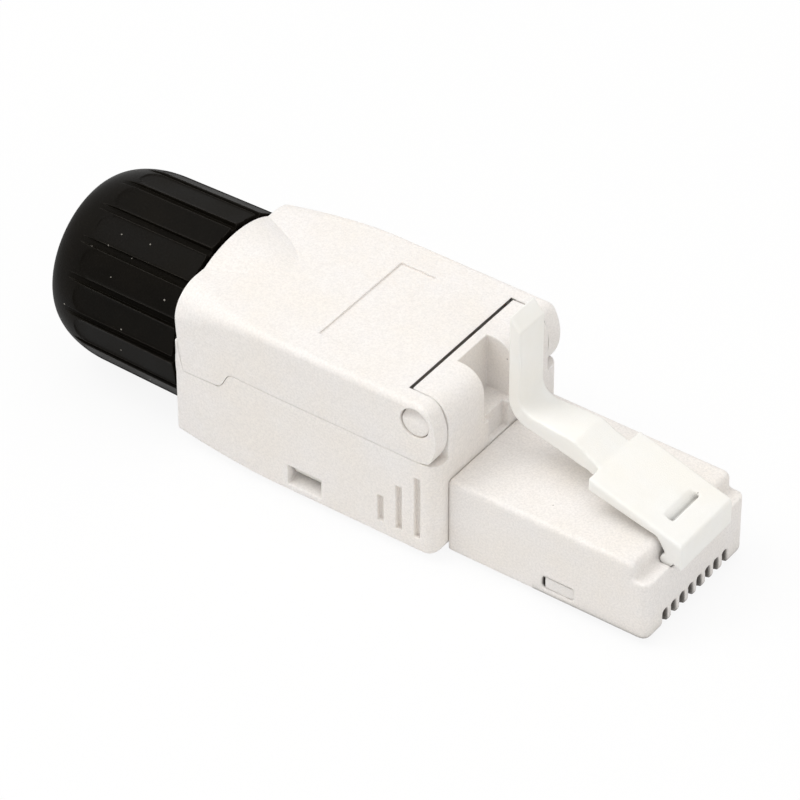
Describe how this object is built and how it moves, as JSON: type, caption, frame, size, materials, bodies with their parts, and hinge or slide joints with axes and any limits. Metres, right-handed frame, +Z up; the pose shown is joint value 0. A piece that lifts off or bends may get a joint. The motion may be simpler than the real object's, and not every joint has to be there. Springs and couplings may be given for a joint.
{
  "type": "field termination plug",
  "caption": "Tool-free modular network plug: mating nose with contacts, flexing latch lever, hinged lid over the wire terminals and a grooved, domed cap nut that clamps the cable.",
  "frame": {"origin": "centre of the bottom face of the bounding box: on the plug's middle plane, halfway along its length and level with the lowest line of the cap nut", "axes": "+X along the plug towards the mating nose, +Z up towards the lid and the latch lever, +Y across"},
  "size_m": [0.0504, 0.0144, 0.0182],
  "materials": {
    "white_shell": "fine matt moulded",
    "white_lever": "smooth moulded",
    "white_inner": "smooth moulded",
    "board": "lacquered",
    "gold_contact": "plated",
    "tinned_terminal": "tinned",
    "pale_collet": "smooth moulded",
    "black_ring": "smooth moulded",
    "black_cap": "satin moulded"
  },
  "bodies": {
    "base": {"plug_shell": "white_shell", "contact_carrier": "white_inner", "circuit_board": "board", "terminal_block": "white_inner", "base_housing": "white_shell", "clamp_collet": "pale_collet", "contact_1": "gold_contact", "contact_2": "gold_contact", "contact_3": "gold_contact", "contact_4": "gold_contact", "contact_5": "gold_contact", "contact_6": "gold_contact", "contact_7": "gold_contact", "contact_8": "gold_contact", "idc_terminal_1": "tinned_terminal", "idc_terminal_2": "tinned_terminal", "idc_terminal_3": "tinned_terminal", "idc_terminal_4": "tinned_terminal", "idc_terminal_5": "tinned_terminal", "idc_terminal_6": "tinned_terminal", "idc_terminal_7": "tinned_terminal", "idc_terminal_8": "tinned_terminal"},
    "lid": {"lid": "white_shell", "wire_guide": "white_inner"},
    "latch": {"latch_lever": "white_lever"},
    "clamp": {"clamp_ring": "black_ring"},
    "cap": {"cap_nut": "black_cap"}
  },
  "joints": [
    {"name": "lid_hinge", "type": "hinge", "parent": "base", "child": "lid", "pos_m": [0.00694, 0, 0.01148], "axis": [0, 1, 0], "range_deg": [0, 80]},
    {"name": "latch_flex", "type": "hinge", "parent": "base", "child": "latch", "pos_m": [0.02399, 0, 0.00533], "axis": [0, -1, 0], "range_deg": [0, 12], "stiffness_Nm_per_rad": 0.05},
    {"name": "clamp_slide", "type": "slide", "parent": "base", "child": "clamp", "axis": [-1, 0, 0], "range_m": [0, 0.00525]},
    {"name": "cap_turn", "type": "hinge", "parent": "clamp", "child": "cap", "pos_m": [-0.0192, 0, 0.00708], "axis": [-1, 0, 0], "range_deg": [0, 1260]}
  ],
  "couplings": [
    {"joint": "cap_turn", "follows": "clamp_slide", "rad_per_m": 4188.8}
  ]
}
